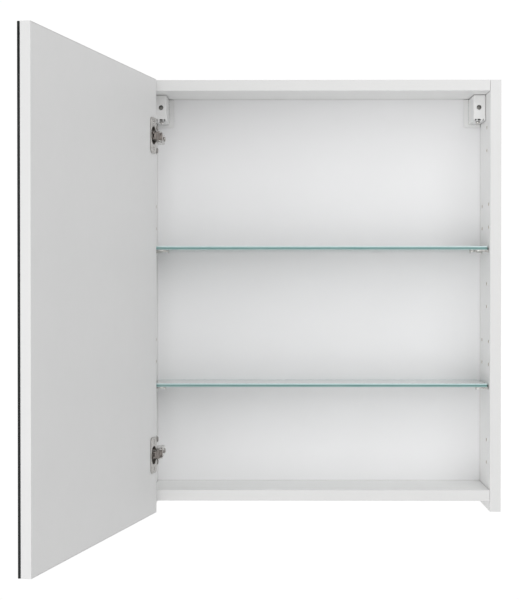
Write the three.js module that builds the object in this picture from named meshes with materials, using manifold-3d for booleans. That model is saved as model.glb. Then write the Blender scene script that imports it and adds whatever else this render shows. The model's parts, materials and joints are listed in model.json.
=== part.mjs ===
// Wall-hung medicine cabinet with one mirrored door on concealed hinges and two glass shelves.
// Millimetres, +X to the right, +Y towards the wall, +Z up.
// The origin is the middle of the top panel's rear edge, on the wall. The door stands open.
import * as THREE from 'three';
import { mergeVertices } from 'three/addons/utils/BufferGeometryUtils.js';
import Module from 'manifold-3d';

const wasm = await Module();
wasm.setup();

// Carcass
const WIDTH = 500;
const HEIGHT = 600;
const DEPTH = 120;
const BOARD = 15;
const BOTTOM_RISE = 15;
const BACK_BOARD = 3;
const BACK_INSET = 12;
const GROOVE_DEPTH = 5;
const GAP = 0.3;
const TOP = BOARD / 2;
const FOOT = TOP - HEIGHT;
const FRONT = -DEPTH;
const INSIDE = WIDTH / 2 - BOARD;
const FLOOR_TOP = FOOT + BOTTOM_RISE + BOARD;

// Row holes and dowels
const PEG_BORE = 2.5;
const PEG_BORE_DEPTH = 9;
const SCREW_BORE_DEPTH = 12;
const HOLE_PITCH = 32;
const PIN_SETBACKS = [17.5, 85.5];
const SHELF_HEIGHTS = { upper: -228.2, lower: -420.2 };
const HOLES_PER_GROUP = 3;
const HINGE_HOLE_SETBACK = 37;
const HINGE_HEIGHTS = { upper: -71.5, lower: -511.5 };
const DOWEL_SETBACKS = [24, 82];
const DOWEL_RADIUS = 3.7;
const DOWEL_LENGTH = 10;

// Door, measured from its hinge-side inner corner
const DOOR_WIDTH = 498;
const DOOR_BOARD = 12;
const MIRROR = 3;
const DOOR_CLOSED_GAP = 2;
const DOOR_OPEN = THREE.MathUtils.degToRad(101.4);
const CORNER_CLOSED = new THREE.Vector2(-DOOR_WIDTH / 2, FRONT - DOOR_CLOSED_GAP);
const CORNER_OPEN = new THREE.Vector2(-228.3, FRONT - 7.4);

// Glass shelves and their pins
const SHELF_LENGTH = 466;
const SHELF_DEPTH = 90;
const SHELF_SETBACK = 12;
const SHELF_GLASS = 5;
const PIN_REACH = 18.5;
const PIN_PEG_LENGTH = 8;
const PIN_COLLAR = 1.3;
const PIN_COLLAR_RADIUS = 3.6;
const SPOON_RADIUS = 5;
const SPOON_THICKNESS = 1.6;

// Concealed hinge
const REAR_PIVOT = new THREE.Vector2(-222, FRONT + 3.07);
const NOSE_PIVOT = new THREE.Vector2(-224.22, FRONT - 7);
const OUTER_THROW = 10.7;
const INNER_THROW = 9.07;
const CUP_CENTRE = 17.15;
const CUP_RADIUS = 12.95;
const CUP_WALL = 0.6;
const CUP_DEPTH = 10.7;
const CUP_RIM = 1.5;
const CUP_SCREW_SPREAD = 19;
const CUP_SCREW_BORE = 1.6;
const CUP_SCREW = { head: 3, shank: 1.3, length: 9 };
const CUP_FLANGE = { halfWidth: 13.4, halfHeight: 24.7, corner: 6 };
const CHEEK_INNER = 4.95;
const CHEEK_OUTER = 5.75;
const HINGE_PIN = 0.8;
const PIN_HOLE = 1.05;
const PIN_HEAD = { radius: 1.4, height: 0.6 };
const EYE = 1.5;
const SPRING = { thickness: 0.5, width: 7 };
const LINK_HALF = 0.75;
const OUTER_LINK_HALF_WIDTH = 2.4;
const ARM_EYE_HALF_WIDTH = 5;
const EAR_INNER = 2.7;
const EAR_OUTER = 4.7;
const ARM_TOP = -220.5;
const ARM_SHEET = 1.2;
const ARM_HALF_WIDTH = 6.5;
const ARM_BACK = FRONT + 50;
const ARM_NOSE = 1.9;
const WING_HALF_WIDTH = 10;
const WING_HALF_HEIGHT = 24.5;
const WING_TOP = -INSIDE + 2.3;
const BOSS_RADIUS = 5.2;
const BOSS_TOP = -INSIDE + 4;
const RAIL_TOP = -229.2;
const RAIL_HALF_WIDTH = 4.8;
const PLATE_SCREW_SPREAD = 16;
const PLATE_SCREW = { radius: 3.8, head: 2.3, length: 10 };
const PLATE_BORE = 2.2;
const CLAMP_HEAD = { radius: 3.4, top: 2.3 };
const SET_SCREW_RADIUS = 1.9;
const SET_SCREW_BORE = 2.3;
const CLAMP_SLOT = { half: 4.5, halfWidth: 2.4, radius: 2.3 };
const SIDE_SCREW_SETBACK = 20;

// Windows in the back panel for the hooks, measured from the side panel's inner face
const HOOK_WINDOW = { near: 4, far: 16, low: -48, high: -14 };

// Wall hangers, measured from the side panel's inner face
const HANGER_REACH = 17.2;
const HANGER_FRONT = -73;
const HANGER_TOP = -8.1;
const HANGER_BOTTOM = -44.2;
const HANGER_AXIS = 9.5;
const DEPTH_SCREW_HEIGHT = -25.5;
const HEIGHT_SCREW_Y = -58;
const COVER_WALL = 1.4;
const COVER_STANDOFF = 0.5;
const COVER_EYE = 3.3;
const COVER_FLANGE = { reach: 24, drop: 4.3, thickness: 1.4 };
const BODY_SHEET = 1.5;
const BODY_REACH = 14;
const BODY_FRONT = -66;
const BODY_TOP = -11;
const BODY_BOTTOM = -41;
const ADJUSTER = { head: 3, shank: 1.8, hole: 2.2 };
const RECESS = { reach: 1.9, half: 0.4 };

const FINISH = {
  melamine: { color: 0xeceae5, roughness: 0.55, metalness: 0 },
  hardboard: { color: 0xe9e9ea, roughness: 0.6, metalness: 0 },
  mirror: { color: 0x2a2d30, roughness: 0.03, metalness: 1 },
  glass: { color: 0xaee0d4, roughness: 0.05, metalness: 0 },
  nickel: { color: 0xb9b4ab, roughness: 0.3, metalness: 1 },
  darkNickel: { color: 0x8b857e, roughness: 0.4, metalness: 1 },
  plastic: { color: 0xf0f0ee, roughness: 0.4, metalness: 0 },
};

// ---- Solids ----

function toSolid(geometry) {
  geometry.deleteAttribute('normal');
  geometry.deleteAttribute('uv');
  const merged = mergeVertices(geometry, 1e-4);
  return new wasm.Manifold(new wasm.Mesh({
    numProp: 3,
    vertProperties: new Float32Array(merged.attributes.position.array),
    triVerts: new Uint32Array(merged.index.array),
  }));
}

function toGeometry(solid) {
  const { vertProperties, triVerts } = solid.getMesh();
  const geometry = new THREE.BufferGeometry();
  geometry.setAttribute('position', new THREE.BufferAttribute(vertProperties, 3));
  geometry.setIndex(new THREE.BufferAttribute(triVerts, 1));
  geometry.computeVertexNormals();
  return geometry;
}

function join(first, ...others) {
  return others.reduce((sum, next) => sum.add(next), first);
}

function cut(body, ...tools) {
  return tools.reduce((rest, tool) => rest.subtract(tool), body);
}

function block([x0, x1], [y0, y1], [z0, z1]) {
  const geometry = new THREE.BoxGeometry(Math.abs(x1 - x0), y1 - y0, z1 - z0);
  return toSolid(geometry.translate((x0 + x1) / 2, (y0 + y1) / 2, (z0 + z1) / 2));
}

function rodX(radius, [x0, x1], y, z, sides = 12) {
  const geometry = new THREE.CylinderGeometry(radius, radius, Math.abs(x1 - x0), sides);
  return toSolid(geometry.rotateZ(Math.PI / 2).translate((x0 + x1) / 2, y, z));
}

function rodY(radius, x, [y0, y1], z, sides = 12) {
  const geometry = new THREE.CylinderGeometry(radius, radius, y1 - y0, sides);
  return toSolid(geometry.translate(x, (y0 + y1) / 2, z));
}

function rodZ(radius, x, y, [z0, z1], sides = 12) {
  const geometry = new THREE.CylinderGeometry(radius, radius, z1 - z0, sides);
  return toSolid(geometry.rotateX(Math.PI / 2).translate(x, y, (z0 + z1) / 2));
}

// An outline drawn in X and Y, standing up from z0 to z1.
function plateZ(shape, [z0, z1], curveSegments = 4) {
  const options = { depth: z1 - z0, bevelEnabled: false, curveSegments };
  return toSolid(new THREE.ExtrudeGeometry(shape, options).translate(0, 0, z0));
}

// An outline drawn in X and Z, running from y0 to y1.
function plateY(shape, [y0, y1], curveSegments = 4) {
  const options = { depth: y1 - y0, bevelEnabled: false, curveSegments };
  const geometry = new THREE.ExtrudeGeometry(shape, options);
  return toSolid(geometry.rotateX(Math.PI / 2).translate(0, y1, 0));
}

// An outline drawn in Y and Z, running from x0 to x1.
function plateX(shape, [x0, x1], curveSegments = 4) {
  const options = { depth: x1 - x0, bevelEnabled: false, curveSegments };
  const geometry = new THREE.ExtrudeGeometry(shape, options);
  const turn = new THREE.Matrix4().set(0, 0, 1, x0, 1, 0, 0, 0, 0, 1, 0, 0, 0, 0, 0, 1);
  return toSolid(geometry.applyMatrix4(turn));
}

function roundedRectangle([x0, x1], [y0, y1], radius) {
  const shape = new THREE.Shape();
  shape.absarc(x1 - radius, y0 + radius, radius, -Math.PI / 2, 0);
  shape.absarc(x1 - radius, y1 - radius, radius, 0, Math.PI / 2);
  shape.absarc(x0 + radius, y1 - radius, radius, Math.PI / 2, Math.PI);
  shape.absarc(x0 + radius, y0 + radius, radius, Math.PI, 1.5 * Math.PI);
  return shape;
}

function polygon(points) {
  return new THREE.Shape(points.map(([x, y]) => new THREE.Vector2(x, y)));
}

// A strip that follows a curve, between two offsets to its left.
function strip(curve, [low, high], [t0, t1], steps = 8) {
  const left = [];
  const right = [];
  for (let i = 0; i <= steps; i += 1) {
    const t = t0 + ((t1 - t0) * i) / steps;
    const point = curve.getPoint(t);
    const along = curve.getTangent(t);
    const normal = new THREE.Vector2(-along.y, along.x);
    left.push(point.clone().addScaledVector(normal, high));
    right.unshift(point.clone().addScaledVector(normal, low));
  }
  return new THREE.Shape([...right, ...left]);
}

function span(middle, half) {
  return [middle - half, middle + half];
}

// Crosses for a screwdriver, sunk into a head that faces along X, Y or Z.
function crossX(range, y, z, { reach, half } = RECESS) {
  const flat = block(range, span(y, reach), span(z, half));
  return flat.add(block(range, span(y, half), span(z, reach)));
}

function crossY(x, range, z, { reach, half } = RECESS) {
  const flat = block(span(x, reach), range, span(z, half));
  return flat.add(block(span(x, half), range, span(z, reach)));
}

function crossZ(x, y, range, { reach, half } = RECESS) {
  const flat = block(span(x, reach), span(y, half), range);
  return flat.add(block(span(x, half), span(y, reach), range));
}

function addPart(parent, name, solid, finish) {
  const mesh = new THREE.Mesh(toGeometry(solid), new THREE.MeshStandardMaterial(finish));
  mesh.name = name;
  parent.add(mesh);
}

// ---- Carcass ----

const shelfHoleHeights = Object.values(SHELF_HEIGHTS).flatMap(
  (lowest) => Array.from({ length: HOLES_PER_GROUP }, (_, i) => lowest + i * HOLE_PITCH),
);
const hingeMiddle = (HINGE_HEIGHTS.upper + HINGE_HEIGHTS.lower) / 2;
const hingeHoleHeights = [HINGE_HEIGHTS.upper, hingeMiddle, HINGE_HEIGHTS.lower].flatMap(
  (height) => [height - PLATE_SCREW_SPREAD, height + PLATE_SCREW_SPREAD],
);
const backFace = -BACK_INSET - BACK_BOARD;
const grooveY = [backFace - GAP, -BACK_INSET + GAP];
const bottomMiddle = FLOOR_TOP - BOARD / 2;

function sidePanel(side) {
  const bore = (radius, depth, setback, z) => rodX(
    radius, [side * (INSIDE - 1), side * (INSIDE + depth)], FRONT + setback, z,
  );
  const holes = [];
  for (const setback of PIN_SETBACKS) {
    holes.push(...shelfHoleHeights.map((z) => bore(PEG_BORE, PEG_BORE_DEPTH, setback, z)));
  }
  holes.push(...hingeHoleHeights.map(
    (z) => bore(PEG_BORE, SCREW_BORE_DEPTH, HINGE_HOLE_SETBACK, z),
  ));
  for (const setback of DOWEL_SETBACKS) {
    for (const z of [0, bottomMiddle]) {
      holes.push(bore(DOWEL_RADIUS + GAP, DOWEL_LENGTH + 1, setback, z));
    }
  }
  const groove = block(
    [side * (INSIDE - 1), side * (INSIDE + GROOVE_DEPTH)],
    grooveY,
    [FLOOR_TOP - GROOVE_DEPTH, -TOP + GROOVE_DEPTH],
  );
  const board = block([side * INSIDE, side * WIDTH / 2], [FRONT, 0], [FOOT, TOP]);
  return cut(board, ...holes, groove);
}

// A horizontal panel with its dowels; grooveSide is -1 for a groove below and 1 for one above.
function crossPanel(middle, grooveSide) {
  const half = INSIDE - GAP;
  const board = block([-half, half], [FRONT, 0], [middle - BOARD / 2, middle + BOARD / 2]);
  const face = middle + (grooveSide * BOARD) / 2;
  const floor = face - grooveSide * GROOVE_DEPTH;
  const grooveZ = [Math.min(floor, face + grooveSide), Math.max(floor, face + grooveSide)];
  const groove = block([-half - 1, half + 1], grooveY, grooveZ);
  const dowels = [];
  for (const side of [-1, 1]) {
    for (const setback of DOWEL_SETBACKS) {
      const reach = [side * (half - 1), side * (INSIDE + DOWEL_LENGTH)];
      dowels.push(rodX(DOWEL_RADIUS, reach, FRONT + setback, middle));
    }
  }
  return join(cut(board, groove), ...dowels);
}

function backPanel() {
  const half = INSIDE + GROOVE_DEPTH - GAP;
  const low = FLOOR_TOP - GROOVE_DEPTH + GAP;
  const board = block([-half, half], [backFace, -BACK_INSET], [low, -TOP + GROOVE_DEPTH - GAP]);
  const windows = [-1, 1].map((side) => block(
    [side * (INSIDE - HOOK_WINDOW.far), side * (INSIDE - HOOK_WINDOW.near)],
    [backFace - 1, -BACK_INSET + 1],
    [HOOK_WINDOW.low, HOOK_WINDOW.high],
  ));
  return cut(board, ...windows);
}

// A spoon-shaped shelf pin: peg, collar, and a tongue whose top is level with the peg's axis.
function shelfPin(side, y, z) {
  const at = (reach) => side * (INSIDE - reach);
  const tipCentre = at(PIN_REACH - SPOON_RADIUS);
  const peg = rodX(PEG_BORE - GAP, [at(-PIN_PEG_LENGTH), at(1)], y, z);
  const collar = rodX(PIN_COLLAR_RADIUS, [at(GAP), at(PIN_COLLAR)], y, z);
  const spoon = new THREE.Shape();
  spoon.moveTo(at(1), y - PIN_COLLAR_RADIUS);
  spoon.absarc(tipCentre, y, SPOON_RADIUS, -Math.PI / 2, Math.PI / 2, side > 0);
  spoon.lineTo(at(1), y + PIN_COLLAR_RADIUS);
  const tongue = plateZ(spoon, [z - SPOON_THICKNESS, z], 5);
  const lip = block([at(PIN_REACH - 1.6), at(PIN_REACH - 0.4)], span(y, 2.2), [z - 3.4, z - 1]);
  const gusset = block([at(1), at(PIN_REACH / 2)], span(y, 0.9), [z - 3, z - 1]);
  return join(peg, collar, tongue, lip, gusset);
}

function glassShelf(pinHeight) {
  const low = pinHeight + GAP;
  return block(
    [-SHELF_LENGTH / 2, SHELF_LENGTH / 2],
    [FRONT + SHELF_SETBACK, FRONT + SHELF_SETBACK + SHELF_DEPTH],
    [low, low + SHELF_GLASS],
  );
}

// ---- Wall hangers ----

function hangerCover(at) {
  const back = backFace - GAP;
  const outside = [at(COVER_STANDOFF), at(HANGER_REACH)];
  const shell = block(outside, [HANGER_FRONT, back], [HANGER_BOTTOM, HANGER_TOP]);
  const flange = block(
    [at(COVER_STANDOFF), at(COVER_FLANGE.reach)],
    [back - COVER_FLANGE.thickness, back],
    [HANGER_BOTTOM - COVER_FLANGE.drop, HANGER_TOP],
  );
  const hollow = block(
    [at(-1), at(HANGER_REACH - COVER_WALL)],
    [HANGER_FRONT + COVER_WALL, backFace + 1],
    [HANGER_BOTTOM + COVER_WALL, HANGER_TOP - COVER_WALL],
  );
  const through = [HANGER_FRONT - 1, HANGER_FRONT + COVER_WALL + 1];
  const eye = rodY(COVER_EYE, at(HANGER_AXIS), through, DEPTH_SCREW_HEIGHT, 20);
  const below = [HANGER_BOTTOM - 1, HANGER_BOTTOM + COVER_WALL + 1];
  const foot = rodZ(ADJUSTER.shank + 0.8, at(HANGER_AXIS), HEIGHT_SCREW_Y, below);
  return cut(shell.add(flange), hollow, eye, foot);
}

// A folded steel channel that is open towards the wall.
function hangerBody(at) {
  const y = [BODY_FRONT, backFace - 3.5];
  const x = [at(GAP), at(BODY_REACH)];
  const height = [BODY_BOTTOM, BODY_TOP];
  const plate = block([at(GAP), at(GAP + BODY_SHEET)], y, height);
  const upper = block(x, y, [BODY_TOP - BODY_SHEET, BODY_TOP]);
  const lower = block(x, y, [BODY_BOTTOM, BODY_BOTTOM + BODY_SHEET]);
  const nose = block(x, [BODY_FRONT, BODY_FRONT + BODY_SHEET], height);
  const depthHole = rodY(
    ADJUSTER.hole, at(HANGER_AXIS), [BODY_FRONT - 1, BODY_FRONT + 3], DEPTH_SCREW_HEIGHT,
  );
  const heightHole = rodZ(
    ADJUSTER.hole, at(HANGER_AXIS), HEIGHT_SCREW_Y, [BODY_BOTTOM - 1, BODY_BOTTOM + 3],
  );
  return cut(join(plate, upper, lower, nose), depthHole, heightHole);
}

// A hook plate that points down behind the back panel, with the nut of the depth screw.
function hangerHook(at) {
  const [front, neck, tip] = [-52, -6, -3];
  const [top, shoulder, bottom, point] = [-20, -22, -34, -46];
  const outline = polygon([
    [front, bottom], [neck, bottom], [neck, point], [tip, point],
    [tip, shoulder], [tip - 2, top], [front, top],
  ]);
  const near = Math.min(at(8), at(11));
  const plate = plateX(outline, [near, near + 3]);
  const nut = block([at(6), at(13)], [front, front + 6], span(DEPTH_SCREW_HEIGHT, 4.5));
  const thread = rodY(ADJUSTER.shank + GAP, at(HANGER_AXIS), [front - 1, -44], DEPTH_SCREW_HEIGHT);
  return cut(plate.add(nut), thread);
}

function depthScrew(at) {
  const x = at(HANGER_AXIS);
  const [front, under, tip] = [-69.4, -66.4, -45];
  const head = rodY(ADJUSTER.head, x, [front, under], DEPTH_SCREW_HEIGHT, 16);
  const shank = rodY(ADJUSTER.shank, x, [under - 0.5, tip], DEPTH_SCREW_HEIGHT);
  return cut(head.add(shank), crossY(x, [front - 1, front + 1], DEPTH_SCREW_HEIGHT));
}

function heightScrew(at) {
  const x = at(HANGER_AXIS);
  const [low, under, tip] = [-47.4, -44.5, -31];
  const head = rodZ(ADJUSTER.head, x, HEIGHT_SCREW_Y, [low, under], 16);
  const shank = rodZ(ADJUSTER.shank, x, HEIGHT_SCREW_Y, [under - 0.5, tip]);
  return cut(head.add(shank), crossZ(x, HEIGHT_SCREW_Y, [low - 1, low + 1]));
}

function addHanger(parent, name, side) {
  const at = (reach) => side * (INSIDE - reach);
  addPart(parent, `hanger_${name}_body`, hangerBody(at), FINISH.nickel);
  addPart(parent, `hanger_${name}_hook`, hangerHook(at), FINISH.nickel);
  addPart(parent, `hanger_${name}_cover`, hangerCover(at), FINISH.plastic);
  addPart(parent, `hanger_${name}_depth_screw`, depthScrew(at), FINISH.nickel);
  addPart(parent, `hanger_${name}_height_screw`, heightScrew(at), FINISH.nickel);
}

// ---- Hinge geometry ----

// The point about which the closed door would turn straight into its open place.
function swingPole() {
  const chord = CORNER_OPEN.clone().sub(CORNER_CLOSED);
  const rightward = new THREE.Vector2(chord.y, -chord.x).normalize();
  const middle = CORNER_OPEN.clone().add(CORNER_CLOSED).multiplyScalar(0.5);
  return middle.addScaledVector(rightward, chord.length() / 2 / Math.tan(DOOR_OPEN / 2));
}

// Cup pivots that keep one distance from the arm pivot in both end positions of the door.
function cupPivots(armPivot, reach) {
  const pole = swingPole();
  const bearing = armPivot.clone().sub(pole).angle();
  const place = (turn) => new THREE.Vector2(reach, 0)
    .rotateAround(new THREE.Vector2(), bearing + turn)
    .add(pole);
  return { closed: place(DOOR_OPEN / 2), open: place(-DOOR_OPEN / 2) };
}

const outerCup = cupPivots(REAR_PIVOT, OUTER_THROW);
const innerCup = cupPivots(NOSE_PIVOT, INNER_THROW);
const outerCupInDoor = outerCup.closed.clone().sub(CORNER_CLOSED);
const innerCupInDoor = innerCup.closed.clone().sub(CORNER_CLOSED);

// ---- Hinge pieces on the side panel, about the hinge's middle height ----

const screwY = FRONT + HINGE_HOLE_SETBACK;
const armUnderside = ARM_TOP - ARM_SHEET;

function mountingPlate() {
  const outline = roundedRectangle(span(screwY, WING_HALF_WIDTH), span(0, WING_HALF_HEIGHT), 7);
  const wings = plateX(outline, [-INSIDE + GAP, WING_TOP]);
  const railY = [FRONT + 13, ARM_BACK + 4];
  const rail = block([-INSIDE + GAP, RAIL_TOP], railY, span(0, RAIL_HALF_WIDTH));
  const ends = [-PLATE_SCREW_SPREAD, PLATE_SCREW_SPREAD];
  const bosses = ends.map((z) => rodX(BOSS_RADIUS, [-INSIDE + GAP, BOSS_TOP], screwY, z, 16));
  const holes = ends.map((z) => rodX(PEG_BORE, [-INSIDE - 1, BOSS_TOP + 1], screwY, z));
  const clampHole = rodX(PLATE_BORE, [-INSIDE - 1, RAIL_TOP + 1], screwY, 0);
  return cut(join(wings, rail, ...bosses), ...holes, clampHole);
}

function plateScrew(end) {
  const z = end * PLATE_SCREW_SPREAD;
  const top = BOSS_TOP + PLATE_SCREW.head;
  const shank = rodX(PEG_BORE - GAP, [-INSIDE - PLATE_SCREW.length, BOSS_TOP + 0.5], screwY, z);
  const head = rodX(PLATE_SCREW.radius, [BOSS_TOP + GAP, top], screwY, z, 16);
  return cut(head.add(shank), crossX([top - 1, top + 1], screwY, z));
}

function hingeArm() {
  const side = new THREE.Shape();
  side.moveTo(ARM_TOP, ARM_BACK);
  side.lineTo(ARM_TOP, REAR_PIVOT.y + 1.5);
  side.lineTo(NOSE_PIVOT.x + ARM_NOSE, NOSE_PIVOT.y);
  side.absarc(NOSE_PIVOT.x, NOSE_PIVOT.y, ARM_NOSE, 0, -Math.PI, true);
  side.lineTo(REAR_PIVOT.x - 2.3, REAR_PIVOT.y - 1);
  side.lineTo(-INSIDE + 2.6, FRONT + 14);
  side.lineTo(-INSIDE + 2.6, ARM_BACK - 4);
  side.lineTo(-INSIDE + 6.6, ARM_BACK);
  const inner = ARM_HALF_WIDTH - ARM_SHEET;
  const flanges = [[-ARM_HALF_WIDTH, -inner], [inner, ARM_HALF_WIDTH]].map((z) => plateZ(side, z));
  const webY = [REAR_PIVOT.y + 2.5, ARM_BACK];
  const web = block([armUnderside, ARM_TOP], webY, span(0, ARM_HALF_WIDTH));
  const through = span(0, ARM_HALF_WIDTH + 1);
  const webX = [armUnderside - 1, ARM_TOP + 1];
  const pinHoles = [REAR_PIVOT, NOSE_PIVOT].map((p) => rodZ(PIN_HOLE, p.x, p.y, through));
  const sideHole = rodX(SET_SCREW_BORE, webX, FRONT + SIDE_SCREW_SETBACK, 0);
  const slotY = span(screwY, CLAMP_SLOT.half);
  const slotZ = span(0, CLAMP_SLOT.halfWidth);
  const slot = plateX(roundedRectangle(slotY, slotZ, CLAMP_SLOT.radius), webX);
  return cut(join(web, ...flanges), ...pinHoles, sideHole, slot);
}

function clampScrew() {
  const top = ARM_TOP + CLAMP_HEAD.top;
  const shank = rodX(SET_SCREW_RADIUS, [-INSIDE + 0.8, ARM_TOP + 1], screwY, 0);
  const head = rodX(CLAMP_HEAD.radius, [ARM_TOP + GAP, top], screwY, 0, 16);
  return cut(head.add(shank), crossX([top - 1.2, top + 1], screwY, 0));
}

function sideScrew() {
  const y = FRONT + SIDE_SCREW_SETBACK;
  const top = ARM_TOP + 1.2;
  const shank = rodX(SET_SCREW_RADIUS, [RAIL_TOP + GAP, top], y, 0);
  return cut(shank, crossX([top - 1.2, top + 1], y, 0, { reach: 1.3, half: RECESS.half }));
}

function armPin(pivot) {
  const reach = ARM_HALF_WIDTH + GAP;
  const tip = reach + PIN_HEAD.height;
  const rod = rodZ(HINGE_PIN, pivot.x, pivot.y, span(0, reach + GAP), 10);
  const heads = [[-tip, -reach], [reach, tip]].map(
    (z) => rodZ(PIN_HEAD.radius, pivot.x, pivot.y, z, 10),
  );
  return join(rod, ...heads);
}

function closingSpring() {
  const bend = new THREE.CubicBezierCurve(
    new THREE.Vector2(armUnderside - 0.8, FRONT + 17),
    new THREE.Vector2(armUnderside - 1.4, FRONT + 12),
    new THREE.Vector2(-INSIDE + 4.5, FRONT + 13),
    new THREE.Vector2(REAR_PIVOT.x - 1.6, FRONT + 5.6),
  );
  return plateZ(strip(bend, span(0, SPRING.thickness / 2), [0, 1]), span(0, SPRING.width / 2));
}

// ---- Links: local X runs from the arm pivot to the cup pivot ----

const outerLength = outerCup.closed.distanceTo(REAR_PIVOT);
const innerLength = innerCup.closed.distanceTo(NOSE_PIVOT);

function outerLink() {
  const spine = new THREE.CubicBezierCurve(
    new THREE.Vector2(outerLength, 0),
    new THREE.Vector2(16.7, 2.6),
    new THREE.Vector2(14, -0.55),
    new THREE.Vector2(0, 0),
  );
  const z = span(0, OUTER_LINK_HALF_WIDTH);
  const blade = plateZ(strip(spine, [-LINK_HALF, LINK_HALF], [0, 1], 14), z);
  const cupEye = rodZ(EYE, outerLength, 0, z);
  const armEye = rodZ(EYE, 0, 0, span(0, ARM_EYE_HALF_WIDTH));
  const through = span(0, ARM_EYE_HALF_WIDTH + 1);
  const holes = [0, outerLength].map((x) => rodZ(PIN_HOLE, x, 0, through));
  return cut(join(blade, cupEye, armEye), ...holes);
}

// Two ears astride the outer link, joined by a bridge on the side away from it. At the cup the
// ears end in open hooks, which leave room for the pin's small excursion in mid swing.
function innerLink() {
  const spine = new THREE.CubicBezierCurve(
    new THREE.Vector2(innerLength, 0),
    new THREE.Vector2(8.6, 3.5),
    new THREE.Vector2(12.88, 2.46),
    new THREE.Vector2(0, 0),
  );
  const hook = roundedRectangle([innerLength - 2.15, innerLength + 2.25], [-0.45, 3.7], 0.7);
  const mouth = roundedRectangle([innerLength - 1.52, innerLength + 1.64], [-3, 3.07], 1.3);
  const ears = [[-EAR_OUTER, -EAR_INNER], [EAR_INNER, EAR_OUTER]].flatMap((z) => [
    plateZ(strip(spine, [-LINK_HALF, LINK_HALF], [0, 1], 10), z),
    plateZ(hook, z),
    rodZ(EYE, 0, 0, z),
  ]);
  const bridge = plateZ(strip(spine, [-1.7, -0.5], [0.12, 0.86]), span(0, EAR_OUTER));
  const z = span(0, EAR_OUTER + 1);
  return cut(join(bridge, ...ears), plateZ(mouth, z), rodZ(PIN_HOLE, 0, 0, z));
}

// ---- Door pieces, in the door's own frame: X from the hinge edge, Y out of the inner face ----

const cupBore = CUP_RADIUS + GAP;

function doorBoard() {
  const board = block([0, DOOR_WIDTH], [-DOOR_BOARD, 0], [FOOT, TOP]);
  const bores = Object.values(HINGE_HEIGHTS).flatMap((height) => [
    rodY(cupBore, CUP_CENTRE, [-CUP_DEPTH - GAP, 1], height, 32),
    rodY(CUP_SCREW_BORE, CUP_CENTRE, [-CUP_SCREW.length - 1, 1], height - CUP_SCREW_SPREAD, 8),
    rodY(CUP_SCREW_BORE, CUP_CENTRE, [-CUP_SCREW.length - 1, 1], height + CUP_SCREW_SPREAD, 8),
  ]);
  return cut(board, ...bores);
}

function mirrorGlass() {
  const outer = -DOOR_BOARD - GAP;
  return block([0, DOOR_WIDTH], [outer - MIRROR, outer], [FOOT, TOP]);
}

function hingeCup() {
  const body = rodY(CUP_RADIUS, CUP_CENTRE, [-CUP_DEPTH, 0.9], 0, 32);
  const outline = roundedRectangle(
    span(CUP_CENTRE, CUP_FLANGE.halfWidth), span(0, CUP_FLANGE.halfHeight), CUP_FLANGE.corner,
  );
  const flange = plateY(outline, [GAP, CUP_RIM]);
  const well = rodY(CUP_RADIUS - CUP_WALL, CUP_CENTRE, [-CUP_DEPTH + CUP_WALL, 2], 0, 32);
  const screwHoles = [-1, 1].map((end) => rodY(
    CUP_SCREW.head + GAP, CUP_CENTRE, [0, 2], end * CUP_SCREW_SPREAD, 16,
  ));
  const linkNotch = block([CUP_CENTRE - 14, CUP_CENTRE - 8], [-0.1, 2], [-5.8, 5.8]);
  const hingeSide = CUP_CENTRE - 11.3;
  const farSide = innerCupInDoor.x + 1.9;
  const cheekShape = polygon([
    [hingeSide, -CUP_DEPTH + GAP], [farSide, -CUP_DEPTH + GAP], [farSide, innerCupInDoor.y + 1],
    [outerCupInDoor.x + 1.6, 1.2], [outerCupInDoor.x - 1.6, 1.2], [hingeSide, -0.2],
  ]);
  const sides = [[-CHEEK_OUTER, -CHEEK_INNER], [CHEEK_INNER, CHEEK_OUTER]];
  const cheeks = sides.map((z) => plateZ(cheekShape, z));
  const through = span(0, CHEEK_OUTER + 0.25);
  const pinHoles = [outerCupInDoor, innerCupInDoor].map((p) => rodZ(PIN_HOLE, p.x, p.y, through));
  return cut(join(cut(body.add(flange), well, linkNotch, ...screwHoles), ...cheeks), ...pinHoles);
}

// One bent wire that serves as both cup pivots.
function cupPin() {
  const legs = [outerCupInDoor, innerCupInDoor].map((p) => rodZ(HINGE_PIN, p.x, p.y, [-6.2, 6.8], 10));
  const middle = outerCupInDoor.clone().add(innerCupInDoor).multiplyScalar(0.5);
  const across = innerCupInDoor.clone().sub(outerCupInDoor);
  const bend = new THREE.CylinderGeometry(0.6, 0.6, across.length(), 10);
  bend.rotateZ(across.angle() - Math.PI / 2).translate(middle.x, middle.y, 6.6);
  return join(...legs, toSolid(bend));
}

function cupScrew(end) {
  const z = end * CUP_SCREW_SPREAD;
  const head = rodY(CUP_SCREW.head, CUP_CENTRE, [0.4, CUP_RIM], z, 16);
  const shank = rodY(CUP_SCREW.shank, CUP_CENTRE, [-CUP_SCREW.length, 0.5], z, 8);
  return cut(head.add(shank), crossY(CUP_CENTRE, [CUP_RIM - 0.6, CUP_RIM + 1], z));
}

// ---- Assembly ----

function addHingeOnPanel(parent, name, height) {
  const group = new THREE.Group();
  group.position.z = height;
  addPart(group, `hinge_${name}_mounting_plate`, mountingPlate(), FINISH.nickel);
  addPart(group, `hinge_${name}_plate_screw_upper`, plateScrew(1), FINISH.nickel);
  addPart(group, `hinge_${name}_plate_screw_lower`, plateScrew(-1), FINISH.nickel);
  addPart(group, `hinge_${name}_arm`, hingeArm(), FINISH.nickel);
  addPart(group, `hinge_${name}_clamp_screw`, clampScrew(), FINISH.nickel);
  addPart(group, `hinge_${name}_side_screw`, sideScrew(), FINISH.darkNickel);
  addPart(group, `hinge_${name}_rear_pin`, armPin(REAR_PIVOT), FINISH.darkNickel);
  addPart(group, `hinge_${name}_nose_pin`, armPin(NOSE_PIVOT), FINISH.darkNickel);
  addPart(group, `hinge_${name}_spring`, closingSpring(), FINISH.darkNickel);
  parent.add(group);
}

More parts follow.
